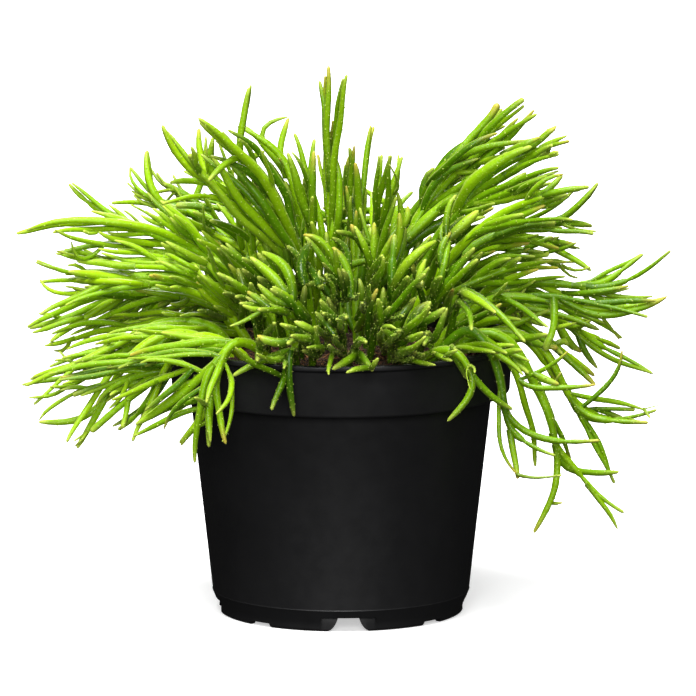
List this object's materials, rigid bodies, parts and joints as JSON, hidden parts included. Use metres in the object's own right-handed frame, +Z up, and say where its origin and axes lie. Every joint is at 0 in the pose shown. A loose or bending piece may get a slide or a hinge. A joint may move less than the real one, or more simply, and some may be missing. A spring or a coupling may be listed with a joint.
{
  "type": "potted mistletoe cactus",
  "caption": "Leafless mistletoe cactus with arching, forked green stems, in a black round nursery pot of soil with a flared lip, a stepped band and a notched foot.",
  "frame": {"origin": "centre of the pot's foot, on the surface that it stands on", "axes": "+Z up along the pot's axis, +X to the right along the plant's widest reach, -Y towards the side that the picture shows"},
  "size_m": [0.2221, 0.1825, 0.186],
  "materials": {
    "pot_plastic": "satin",
    "peat_soil": "matte",
    "green_stem": "satin"
  },
  "bodies": {
    "root": {"pot": "pot_plastic", "soil": "peat_soil", "spray_back_01": "green_stem", "spray_back_02": "green_stem", "spray_back_03": "green_stem", "spray_back_04": "green_stem", "spray_back_05": "green_stem", "spray_back_06": "green_stem", "spray_back_07": "green_stem", "spray_back_08": "green_stem", "spray_back_09": "green_stem", "spray_back_10": "green_stem", "spray_back_11": "green_stem", "spray_centre_fan": "green_stem", "spray_centre_left": "green_stem", "spray_centre_right": "green_stem", "spray_front_01": "green_stem", "spray_front_02": "green_stem", "spray_front_03": "green_stem", "spray_front_04": "green_stem", "spray_front_05": "green_stem", "spray_front_06": "green_stem", "spray_front_07": "green_stem", "spray_front_08": "green_stem", "spray_front_09": "green_stem", "spray_front_10": "green_stem", "spray_front_11": "green_stem", "spray_front_12": "green_stem", "spray_front_13": "green_stem", "spray_front_14": "green_stem", "spray_front_15": "green_stem", "spray_front_16": "green_stem", "spray_left_behind": "green_stem", "spray_left_blade": "green_stem", "spray_left_corner": "green_stem", "spray_left_crest": "green_stem", "spray_left_diagonal": "green_stem", "spray_left_drop": "green_stem", "spray_left_high": "green_stem", "spray_left_level": "green_stem", "spray_left_low": "green_stem", "spray_left_pair": "green_stem", "spray_left_rim": "green_stem", "spray_left_spire": "green_stem", "spray_left_sweep": "green_stem", "spray_right_blunt": "green_stem", "spray_right_bow": "green_stem", "spray_right_brush": "green_stem", "spray_right_crown": "green_stem", "spray_right_drop": "green_stem", "spray_right_edge": "green_stem", "spray_right_fork": "green_stem", "spray_right_front": "green_stem", "spray_right_hanger": "green_stem", "spray_right_low": "green_stem", "spray_right_shelf": "green_stem", "spray_right_trail": "green_stem", "spray_right_wave": "green_stem", "spray_top_trio": "green_stem"}
  },
  "joints": []
}
